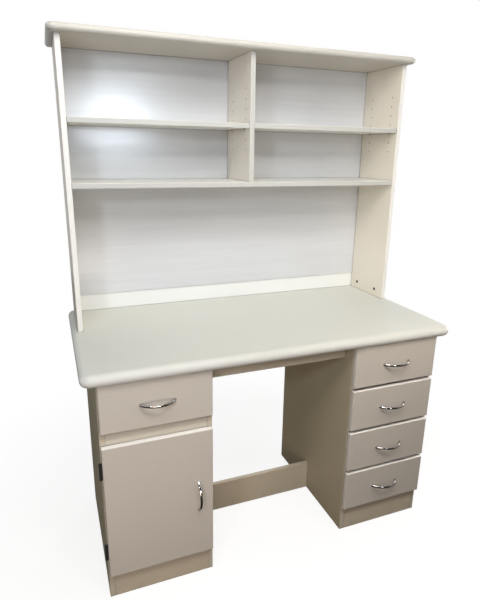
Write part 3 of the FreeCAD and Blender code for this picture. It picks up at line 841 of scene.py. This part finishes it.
@dataclass(frozen=True)
class ScrewHeads:
    """Pan-head screws with a cross recess, all facing one way."""

    radius: float = 0.0033
    height: float = 0.0019
    dome_drop: float = 0.7
    recess_length: float = 0.0018
    recess_width: float = 0.00042
    recess_depth: float = 0.0011
    side_wall: float = 0.00016
    end_wall: float = 0.00022
    ring_shares: tuple[float, ...] = (0.08, 0.14, 0.2, 0.28, 0.36, 0.44, 0.52, 0.6, 0.72, 0.86, 0.95, 1.0)
    sides: int = 40

    def head(self, facing: Facing) -> Surface:
        """Return one head on the plane through the origin.

        At distance r from the axis the head stands height * sqrt(1 - dome_drop (r / radius)^2) high.
        A smooth cross, as wide as recess_width to each side and recess_length long, is sunk by
        recess_depth.  The last ring drops to the plane.

        Args:
            facing: the side that the head looks towards.

        Returns:
            The closed head.
        """
        shares = np.array(self.ring_shares)[:, None]
        cosines, sines = circle(self.sides)
        across, along = shares * self.radius * cosines, shares * self.radius * sines
        cross = np.maximum(self._arm(across, along), self._arm(along, across))
        tops = self.height * np.sqrt(1.0 - self.dome_drop * shares**2) - self.recess_depth * cross
        rings = np.stack([across, along, tops], axis=-1)
        foot = rings[-1:] * np.array([1.0, 1.0, 0.0])
        centre = np.array([0.0, 0.0, self.height - self.recess_depth])
        return ringed_surface(np.concatenate([rings, foot]), centre, np.zeros(3)).faced(facing)

    def _arm(self, wide: np.ndarray, long: np.ndarray) -> np.ndarray:
        """Return 1 inside one arm of the cross and 0 outside, with soft walls."""
        return (soft_inside(wide, self.recess_width, self.side_wall)
                * soft_inside(long, self.recess_length, self.end_wall))


@dataclass(frozen=True)
class RunnerRoller:
    """A nylon runner roller: an eased tyre round a shallow groove, held by a domed rivet.

    The lift is how high its middle lies above the lower edge of the drawer's side.
    """

    radius: float
    lift: float
    width: float = 0.00745
    ease: float = 0.0008
    groove_depth: float = 0.0001
    groove: Span = (0.48, 0.80)
    groove_slope: float = 0.02
    rivet_radius: float = 0.0026
    rivet_height: float = 0.00045
    sides: int = 48

    def surface(self, facing: Facing) -> Surface:
        """Return one roller standing on the steel at the origin.

        Args:
            facing: the side that the rivet looks towards.

        Returns:
            The closed roller.
        """
        face, ease, radius = self.width, self.ease, self.radius
        dome, rivet = self.rivet_height, self.rivet_radius
        floor = face - self.groove_depth
        inner, outer = self.groove
        profile = [
            (0.0, radius - ease), (0.3 * ease, radius - 0.3 * ease), (ease, radius),
            (face - ease, radius), (face - 0.3 * ease, radius - 0.3 * ease), (face, radius - ease),
            (face, (outer + self.groove_slope) * radius), (floor, outer * radius),
            (floor, inner * radius), (face, (inner - self.groove_slope) * radius),
            (face, rivet), (face + 0.6 * dome, 0.92 * rivet),
            (face + 0.9 * dome, 0.6 * rivet), (face + dome, 0.25 * rivet),
        ]
        return turned(profile, facing, self.sides)


@dataclass(frozen=True)
class ShelfPins:
    """Plain turned shelf pins with a rounded free end."""

    radius: float = 0.00245
    buried: float = 0.007
    reach: float = 0.008
    ease: float = 0.0008
    sides: int = 28

    def surface(self, facing: Facing) -> Surface:
        """Return one pin in a hole at the origin.

        Args:
            facing: the side that its free end looks towards.

        Returns:
            The closed pin.
        """
        buried, reach, radius, ease = self.buried, self.reach, self.radius, self.ease
        profile = [
            (-buried, 0.9 * radius), (ease / 8.0 - buried, radius), (reach - ease, radius),
            (reach - ease / 2.0, 0.93 * radius), (reach - ease / 8.0, 0.78 * radius), (reach, 0.55 * radius),
        ]
        return turned(profile, facing, self.sides)


@dataclass(frozen=True)
class PanelPins:
    """The small round heads of the pins that hold a thin back to the board behind it.

    The dome is a row of shares of the height and of the radius.
    """

    radius: float = 0.0019
    height: float = 0.0005
    dome: tuple[Span, ...] = ((0.0, 1.0), (0.4, 0.98), (0.8, 0.8), (1.0, 0.45))
    sides: int = 20

    def surface(self) -> Surface:
        """Make one head.

        Returns:
            The closed head, on a rear face at the origin.
        """
        profile = [(rise * self.height, width * self.radius) for rise, width in self.dome]
        return turned(profile, Facing.REAR, self.sides)


@dataclass(frozen=True)
class BowHandle:
    """A bow handle: a crescent in plan, waisted in front view, with an oval section."""

    span: float = 0.107
    reach: float = 0.028
    mid_thick: float = 0.0048
    foot_length: float = 0.009
    mid_width: float = 0.007
    end_width: float = 0.010
    section_power: float = 2.5
    rows: int = 81
    sides: int = 32
    screw_spacing: float = 0.096
    screws: ScrewHeads = ScrewHeads()

    def surface(self, lie: Lie) -> Surface:
        """Return the handle standing on the plane y = 0 with its middle at the origin.

        Two circular arcs bound the plan: the outer one through the feet's far corners, the inner one
        through their near corners.  Ring k joins the points at the same share of both arcs; between
        them runs a superellipse |a|^p + |b|^p = 1 whose half width grows from the middle with the
        square of the share.

        Args:
            lie: level, or turned upright about the front's normal.

        Returns:
            The closed handle.
        """
        share = np.linspace(-1.0, 1.0, self.rows)
        outer = self._arc(self.span / 2.0, self.reach, share)
        inner = self._arc(self.span / 2.0 - self.foot_length, self.reach - self.mid_thick, share)
        centre, half_thick = (outer + inner) / 2.0, (outer - inner) / 2.0
        half_width = (self.mid_width + (self.end_width - self.mid_width) * share**2) / 2.0
        thick_share, width_share = (np.sign(part) * np.abs(part) ** (2.0 / self.section_power)
                                    for part in circle(self.sides))
        plan = centre[:, None, :] + half_thick[:, None, :] * thick_share[None, :, None]
        upright = half_width[:, None] * width_share[None, :]
        rings = np.concatenate([plan, upright[..., None]], axis=-1)
        poles = np.concatenate([centre, np.zeros((self.rows, 1))], axis=-1)
        surface = ringed_surface(rings, poles[0], poles[-1])
        if lie is Lie.UPRIGHT:
            surface.points = surface.points[:, [2, 1, 0]] * np.array([1.0, 1.0, -1.0])
        return surface

    @staticmethod
    def _arc(half_chord: float, rise: float, share: np.ndarray) -> np.ndarray:
        """Work out points of the arc from (-half_chord, 0) over (0, -rise) to (half_chord, 0).

        Args:
            half_chord: half the distance between the arc's ends.
            rise: how far its middle stands out.
            share: where the points lie on it, -1 and 1 at the ends.

        Returns:
            The (n, 2) points.
        """
        radius = (half_chord**2 + rise**2) / (2.0 * rise)
        angle = share * math.atan2(half_chord, radius - rise)
        return np.stack([radius * np.sin(angle), radius - rise - radius * np.cos(angle)], axis=-1)

    def fit(self, body: str, lie: Lie, rear_y: float) -> None:
        """Swap a front's plain bow for this one, and add its two screws' heads behind the front.

        Args:
            body: the body that the front moves with.
            lie: the way the bow runs on the front.
            rear_y: where the screws' heads sit.
        """
        low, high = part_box(body + "_handle")
        x, z = (low.x + high.x) / 2.0, (low.z + high.z) / 2.0
        bow = self.surface(lie).repeated([(x, high.y, z)])
        piece = add_piece(body + "_bow", bow, body, Finish.CHROME)
        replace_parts(piece, body + "_handle")
        seat, half_spacing = np.array([x, rear_y, z]), np.array(lie.value) * self.screw_spacing / 2.0
        heads = self.screws.head(Facing.REAR).repeated([seat - half_spacing, seat + half_spacing])
        add_piece(body + "_handle_screws", heads, body, Finish.SCREW)


# ---------------------------------------------------------------- sub-assemblies
@dataclass(frozen=True)
class DrawerDressing:
    """One drawer: its nodes' finishes, its bow handle, its rollers and its runners' screws.

    The screws' starts are counted from the front end of the drawer's sides and of the channels.
    """

    name: str
    handle: BowHandle = BowHandle()
    member_heads: ScrewHeads = ScrewHeads()
    channel_heads: ScrewHeads = ScrewHeads(height=0.0015, recess_depth=0.0009)
    member_roller: RunnerRoller = RunnerRoller(radius=0.00974, lift=0.0030)
    channel_roller: RunnerRoller = RunnerRoller(radius=0.00822, lift=0.0045)
    member_screw_starts: tuple[float, ...] = (0.045, 0.205, 0.355)
    member_screw_lift: float = 0.0065
    channel_screw_starts: tuple[float, ...] = (0.052, 0.212, 0.372)
    end_board: float = 0.012
    runner_space: float = 0.0125
    steel: float = 0.0012
    runner_length: float = 0.430
    runner_setback: float = 0.002
    roller_from_end: float = 0.014

    def build(self) -> None:
        """Dress the drawer's nodes and add its pieces."""
        dress(Finish.FRONT, self.name + "_front")
        dress(Finish.DRAWER_BOARD, self.name + "_sides", self.name + "_ends")
        dress(Finish.DRAWER_BASE, self.name + "_bottom")
        dress(Finish.RUNNER, self.name + "_runners")
        front_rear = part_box(self.name + "_front")[1].y
        self.handle.fit(self.name, Lie.LEVEL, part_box(self.name + "_ends")[0].y + self.end_board)
        self._add_member_parts(front_rear + self.runner_setback)
        self._add_channel_parts(front_rear + 2.0 * self.runner_setback)

    def _beside(self, gap: float, sides: Sequence[Facing], ys: Sequence[float],
                lift: float) -> dict[Facing, Sequence[Point]]:
        """List places at a gap outside the drawer's two sides.

        Args:
            gap: the distance from each side.
            sides: what the places on the left and those on the right look towards.
            ys: how far back the places lie.
            lift: how high they lie above the sides' lower edge.

        Returns:
            The places by the side that they look towards.
        """
        low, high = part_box(self.name + "_sides")
        columns = zip(sides, (low.x - gap, high.x + gap))
        return {side: [(x, y, low.z + lift) for y in ys] for side, x in columns}

    def _add_member_parts(self, start: float) -> None:
        """Add the screws and the rear rollers of the two members that move with the drawer.

        Args:
            start: where the members' front ends lie.
        """
        outwards = (Facing.LEFT, Facing.RIGHT)
        box_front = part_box(self.name + "_sides")[0].y
        ys = [box_front + run for run in self.member_screw_starts]
        for side, places in self._beside(self.steel, outwards, ys, self.member_screw_lift).items():
            heads = self.member_heads.head(side).repeated(places)
            add_piece(f"{self.name}_{side.name.lower()}_runner_screws", heads, self.name,
                      Finish.SCREW)
        rear_y = start + self.runner_length - self.roller_from_end
        wheels = self._beside(self.steel, outwards, [rear_y], self.member_roller.lift)
        add_piece(self.name + "_rear_rollers", placed(self.member_roller.surface, wheels), self.name,
                  Finish.ROLLER)

    def _add_channel_parts(self, start: float) -> None:
        """Add the front rollers and the screws of the two channels on the cabinet's sides.

        Args:
            start: where the channels' front ends lie.
        """
        inwards = (Facing.RIGHT, Facing.LEFT)
        web = self.runner_space - self.steel
        wheels = self._beside(web, inwards, [start + self.roller_from_end], self.channel_roller.lift)
        add_piece(self.name + "_front_rollers", placed(self.channel_roller.surface, wheels), "carcass",
                  Finish.ROLLER)
        ys = [start + run for run in self.channel_screw_starts]
        screws = self._beside(web, inwards, ys, self.member_roller.lift)
        add_piece(self.name + "_channel_screws", placed(self.channel_heads.head, screws), "carcass",
                  Finish.SCREW)


@dataclass(frozen=True)
class DoorDressing:
    """The cupboard door: its upright bow handle, that handle's screws and the catch's strike plate."""

    handle: BowHandle = BowHandle()
    strike_thick: float = 0.001
    strike_inset: tuple[float, float] = (0.001, 0.002)
    strike_corner: float = 0.0022
    strike_ease: float = 0.0003
    pole_offset: float = 0.003
    pole_half_width: float = 0.0008
    pole_proud: float = 0.00015
    pole_depth: float = 0.002
    pole_end_gap: float = 0.006
    pole_corner: float = 0.0004
    pole_ease: float = 0.00008

    def build(self) -> None:
        """Dress the door's nodes and add its pieces."""
        dress(Finish.FRONT, "cupboard_door")
        dress(Finish.HINGE, "door_hinge_leaves", "frame_hinge_leaves")
        dress(Finish.CATCH, "door_catch")
        door_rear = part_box("cupboard_door")[1].y
        self.handle.fit("door", Lie.UPRIGHT, door_rear)
        self._add_strike(door_rear)

    def _add_strike(self, door_rear: float) -> None:
        """Add the steel strike plate on the door and the two pole strips on the catch it meets.

        Args:
            door_rear: where the door's rear face lies.
        """
        low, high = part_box("door_catch")
        side_gap, end_gap = self.strike_inset
        plate = rounded_plate(np.array([low.x + side_gap, door_rear, low.z + end_gap]),
                              np.array([high.x - side_gap, door_rear + self.strike_thick, high.z - end_gap]),
                              self.strike_corner, self.strike_ease)
        add_piece("door_strike", plate, "door", Finish.PIN)
        middle, half, gap = (low.x + high.x) / 2.0, self.pole_half_width, self.pole_end_gap
        strip = rounded_plate(np.array([middle - half, low.y - self.pole_proud, low.z + gap]),
                              np.array([middle + half, low.y + self.pole_depth, high.z - gap]),
                              self.pole_corner, self.pole_ease)
        strips = strip.repeated([(-self.pole_offset, 0.0, 0.0), (self.pole_offset, 0.0, 0.0)])
        add_piece("catch_poles", strips, "carcass", Finish.SCREW)


@dataclass(frozen=True)
class CarcassDressing:
    """The pedestals, the rails between them, the fixed runners and the desktop."""

    boards: tuple[str, ...] = (
        "left_outer_side", "left_inner_side", "right_inner_side", "right_outer_side", "pedestal_bases",
        "top_rails", "cupboard_top", "cupboard_shelf", "apron_rail",
    )

    def build(self) -> None:
        """Dress the nodes."""
        dress(Finish.TOP, "desktop")
        dress(Finish.CARCASS_BOARD, *self.boards)
        dress(Finish.PLINTH_BOARD, "plinth_boards", "foot_rail")
        dress(Finish.RAIL_BOARD, "mid_rail")
        dress(Finish.BACK_PANEL, "pedestal_backs")
        dress(Finish.RUNNER, "cabinet_runners")


@dataclass(frozen=True)
class HutchDressing:
    """The open shelf unit on the desktop, its cam fittings' caps, its panel's pins and all shelf pins.

    The rows say how far back the hutch's and the cupboard's shelf pins lie.
    """

    cam_caps: ScrewHeads = ScrewHeads(radius=0.0062, height=0.0008, recess_length=0.0032,
                                      recess_width=0.0008, recess_depth=0.0006)
    pins: ShelfPins = ShelfPins()
    panel_pins: PanelPins = PanelPins()
    hutch_rows: Span = (0.106, 0.228)
    cupboard_rows: Span = (-0.164, 0.166)
    shelf_pin_count: int = 12
    shelf_pin_margin: float = 0.04
    divider_pin_count: int = 5
    divider_pin_rise: float = 0.08
    divider_pin_drop: float = 0.05

    def build(self) -> None:
        """Dress the nodes and add the cam fittings' caps, the shelf pins and the panel pins."""
        dress(Finish.HUTCH_TOP, "hutch_top")
        dress(Finish.HUTCH_BOARD, "hutch_fixed_shelf", "hutch_adjustable_shelves")
        dress(Finish.BACK_RAIL, "hutch_back_rail")
        dress(Finish.HUTCH_SIDE, "hutch_left_side", "hutch_right_side")
        dress(Finish.HUTCH_DIVIDER, "hutch_divider")
        dress(Finish.BACK_PANEL, "hutch_back_panel")
        dress(Finish.PIN, "shelf_pins")
        dress(Finish.CAM, "cam_fittings")
        self._add_cam_caps()
        self._add_shelf_pins()
        self._add_panel_pins()

    def _add_cam_caps(self) -> None:
        """Add a low cap with a cross recess over each cam fitting, on the sides' inner faces."""
        low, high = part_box("cam_fittings")
        radius = (high.z - low.z) / 2.0
        faces = {Facing.LEFT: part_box("hutch_right_side")[0].x, Facing.RIGHT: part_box("hutch_left_side")[1].x}
        places = {side: [(x, y, low.z + radius) for y in (low.y + radius, high.y - radius)]
                  for side, x in faces.items()}
        add_piece("cam_caps", placed(self.cam_caps.head, places), "carcass", Finish.CAM)

    def _add_shelf_pins(self) -> None:
        """Swap the plain pins for turned ones, under the hutch's short shelves and the cupboard's."""
        divider_low, divider_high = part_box("hutch_divider")
        hutch_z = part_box("hutch_adjustable_shelves")[0].z - self.pins.radius
        cupboard_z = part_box("cupboard_shelf")[0].z - self.pins.radius
        walls = {
            Facing.RIGHT: (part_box("hutch_left_side")[1].x, divider_high.x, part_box("left_outer_side")[1].x),
            Facing.LEFT: (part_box("hutch_right_side")[0].x, divider_low.x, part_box("left_inner_side")[0].x),
        }
        places = {side: [(x, y, hutch_z) for x in xs[:2] for y in self.hutch_rows]
                  + [(xs[2], y, cupboard_z) for y in self.cupboard_rows] for side, xs in walls.items()}
        pins = placed(self.pins.surface, places)
        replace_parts(add_piece("turned_shelf_pins", pins, "carcass", Finish.PIN), "shelf_pins")

    def _add_panel_pins(self) -> None:
        """Add the pins that hold the hutch's thin back to its fixed shelf and its divider."""
        low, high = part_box("hutch_back_panel")
        shelf_low, shelf_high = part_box("hutch_fixed_shelf")
        shelf_z = (shelf_low.z + shelf_high.z) / 2.0
        row = np.linspace(low.x + self.shelf_pin_margin, high.x - self.shelf_pin_margin, self.shelf_pin_count)
        column = np.linspace(shelf_z + self.divider_pin_rise, high.z - self.divider_pin_drop,
                             self.divider_pin_count)
        places = [(x, high.y, shelf_z) for x in row] + [(0.0, high.y, z) for z in column]
        heads = self.panel_pins.surface().repeated(places)
        add_piece("back_panel_pins", heads, "carcass", Finish.SCREW)


# ---------------------------------------------------------------- studio
@dataclass(frozen=True)
class SoftLamp:
    """One rectangular soft lamp, aimed at a point."""

    name: str
    place: Point
    aim: Point
    size: tuple[float, float]
    watts: float
    colour: Colour = (1.0, 1.0, 1.0)
    shows: Shows = Shows.EVERYWHERE

    def build(self) -> None:
        """Add the lamp; one that shows in reflections alone adds no light to a matt surface."""
        data = bpy.data.lights.new(self.name, "AREA")
        data.shape = "RECTANGLE"
        data.size, data.size_y = self.size
        data.energy = self.watts
        data.color = self.colour
        lamp = bpy.data.objects.new(self.name, data)
        bpy.context.scene.collection.objects.link(lamp)
        lamp.visible_camera = False
        lamp.visible_diffuse = self.shows is not Shows.IN_REFLECTIONS
        lamp.visible_glossy = self.shows is not Shows.OUTSIDE_REFLECTIONS
        lamp.location = self.place
        lamp.rotation_euler = (Vector(self.aim) - Vector(self.place)).to_track_quat("-Z", "Y").to_euler()


@dataclass(frozen=True)
class DarkCard:
    """A dark card that only mirror-like reflections see, so that chrome has something to show."""

    name: str
    low: Point
    high: Point
    colour: Colour = (0.012, 0.011, 0.010)
    clouds_a_metre: float = 8.0
    cloud_shade: float = 0.8

    def build(self) -> None:
        """Add the card to the stage."""
        sheet = ShaderSheet(self.name)
        cloud = sheet.noise(sheet.place(), self.clouds_a_metre)
        colour = sheet.blend(cloud, shade(self.colour, self.cloud_shade), self.colour)
        card = add_to_stage(self.name, self.low, self.high, sheet.finished(Base_Color=colour, Roughness=1.0))
        card.visible_camera = False
        card.visible_diffuse = False
        card.visible_shadow = False
        card.visible_transmission = False


@dataclass(frozen=True)
class Studio:
    """The plain floor, the soft lamps, the dark cards, the world and the camera."""

    camera_place: Point = (-0.6446, -1.5231, 1.3252)
    camera_right: Point = (0.93039389, -0.36622711, 0.01564948)
    camera_up: Point = (0.08739833, 0.26309074, 0.96080424)
    lens: float = 19.873
    sensor_height: float = 24.0
    shift: tuple[float, float] = (-0.0104, -0.01137)
    nearest_view: float = 0.05
    floor_size: float = 60.0
    floor_colour: Colour = (0.22, 0.22, 0.215)
    floor_grain: Grain = Grain(140.0, (0.3, 0.7))
    floor_grain_shade: float = 0.985
    floor_bounce: Colour = (0.10, 0.085, 0.065)
    floor_glow: float = 0.84
    floor_fade: Span = (0.8, 1.4)
    world_level: float = 0.07
    world_colour: Colour = (0.97, 0.98, 1.0)
    lamps: tuple[SoftLamp, ...] = (
        SoftLamp("key_lamp", (-0.1, -1.2, 1.95), (0.1, 0.2, 1.0), (0.16, 0.12), 4.6, (1.0, 0.98, 0.95)),
        SoftLamp("left_key_lamp", (-1.4, -1.7, 1.7), (0.1, 0.2, 1.1), (0.2, 0.2), 8.7, (0.85, 0.93, 1.0)),
        SoftLamp("high_softbox", (-0.7, -1.3, 2.6), (0.1, 0.2, 1.2), (0.8, 0.5), 9.4, (1.0, 1.0, 0.99)),
        SoftLamp("near_softbox", (-0.1, -1.2, 2.3), (0.1, 0.2, 1.2), (0.8, 0.5), 9.0, (1.0, 0.98, 0.94)),
        SoftLamp("overhead_softbox", (0.0, -0.5, 3.0), (0.0, 0.0, 0.7), (1.6, 1.2), 8.5),
        SoftLamp("right_softbox", (0.55, -0.9, 1.5), (0.4, -0.2, 0.7), (0.4, 0.4), 1.6, (1.0, 0.93, 0.83),
                 Shows.OUTSIDE_REFLECTIONS),
        SoftLamp("drawer_softbox", (0.55, -0.8, 1.1), (0.42, -0.27, 0.62), (0.3, 0.2), 1.5,
                 (1.0, 0.88, 0.74), Shows.OUTSIDE_REFLECTIONS),
        SoftLamp("low_left_softbox", (-0.9, -1.3, 0.5), (-0.4, -0.2, 0.3), (0.4, 0.4), 1.9,
                 (1.0, 0.86, 0.76)),
        SoftLamp("door_softbox", (-0.55, -1.3, 0.45), (-0.35, -0.2, 0.2), (0.4, 0.4), 2.5,
                 (1.0, 0.86, 0.78)),
        SoftLamp("desk_fill", (0.0, 0.13, 0.98), (0.0, 0.20, 0.756), (1.0, 0.06), 0.20, (0.98, 1.0, 1.0),
                 Shows.OUTSIDE_REFLECTIONS),
        SoftLamp("back_softbox", (1.4, 3.1, 1.0), (0.0, 0.3, 0.9), (1.8, 1.8), 62.0),
        SoftLamp("right_side_softbox", (3.4, 0.3, 0.9), (0.6, 0.1, 0.9), (1.6, 1.6), 44.0),
        SoftLamp("left_side_softbox", (-3.6, 0.5, 0.9), (-0.6, 0.1, 0.9), (1.6, 1.6), 9.0),
        SoftLamp("window_glare", (0.10, -3.9, 1.62), (-0.3, 0.28, 1.5), (0.68, 0.6), 42.0,
                 (0.78, 0.88, 1.0), Shows.IN_REFLECTIONS),
    )
    cards: tuple[DarkCard, ...] = (
        DarkCard("dark_ground_card", (-4.0, -4.6, 0.002), (4.0, 4.0, 0.002)),
        DarkCard("dark_front_card", (-4.0, -4.6, 0.03), (4.0, -4.6, 4.0)),
        DarkCard("dark_roof_card", (-4.0, -4.6, 4.0), (4.0, 0.2, 4.0)),
    )

    def build(self) -> None:
        """Make the floor, the lamps, the cards, the world and the camera."""
        self._add_camera()
        self._add_floor()
        self._set_world()
        for item in (*self.lamps, *self.cards):
            item.build()
        bpy.context.scene.view_settings.view_transform = "Standard"

    def _add_camera(self) -> None:
        """Add the camera; its columns are its right, its up and the way back from the view."""
        data = bpy.data.cameras.new("camera")
        data.sensor_fit = "VERTICAL"
        data.sensor_height = self.sensor_height
        data.lens = self.lens
        data.shift_x, data.shift_y = self.shift
        data.clip_start = self.nearest_view
        camera = bpy.data.objects.new("camera", data)
        bpy.context.scene.collection.objects.link(camera)
        right, up = Vector(self.camera_right).normalized(), Vector(self.camera_up).normalized()
        turn = Matrix((right, up, right.cross(up))).transposed().to_4x4()
        camera.matrix_world = Matrix.Translation(self.camera_place) @ turn
        bpy.context.scene.camera = camera

    def _add_floor(self) -> None:
        """Add the floor: pale to the eye with the desk's shadow on it, and dull warm to the light."""
        half = self.floor_size / 2.0
        sheet = ShaderSheet("studio_floor")
        place = sheet.place()
        grain = sheet.mottle(place, self.floor_grain)
        colour = sheet.blend(grain, shade(self.floor_colour, self.floor_grain_shade), self.floor_colour)
        matt = sheet.add("BsdfDiffuse", Color=colour).outputs["BSDF"]
        glow = sheet.add("Emission", Strength=self.floor_glow).outputs["Emission"]
        white = sheet.add("Emission", Strength=1.0).outputs["Emission"]
        far = sheet.spread(sheet.measure("LENGTH", place), self.floor_fade)
        look = sheet.either(far, sheet.add("AddShader", matt, glow).outputs["Shader"], white)
        unseen = sheet.add("BsdfDiffuse", Color=self.floor_bounce).outputs["BSDF"]
        material = sheet.covered(sheet.either(sheet.seen(), unseen, look))
        add_to_stage("studio_floor", (-half, -half, 0.0), (half, half, 0.0), material)

    def _set_world(self) -> None:
        """Set the even light from all round; the camera and reflections see it white."""
        world = bpy.data.worlds.new("studio")
        bpy.context.scene.world = world
        world.use_nodes = True
        sheet = NodeSheet(world.node_tree)
        even = sheet.add("Background", Color=self.world_colour, Strength=self.world_level)
        white = sheet.add("Background", Color=(1.0, 1.0, 1.0), Strength=1.0)
        look = sheet.either(sheet.seen(), even.outputs["Background"], white.outputs["Background"])
        sheet.add("OutputWorld", Surface=look)


def main() -> None:
    """Build the studio and every sub-assembly in order."""
    logging.basicConfig(level=logging.INFO, format="%(name)s: %(message)s")
    Studio().build()
    CarcassDressing().build()
    HutchDressing().build()
    DoorDressing().build()
    for name in ("left_drawer", "right_drawer_1", "right_drawer_2", "right_drawer_3", "right_drawer_4"):
        DrawerDressing(name).build()


if __name__ == "__main__":
    main()
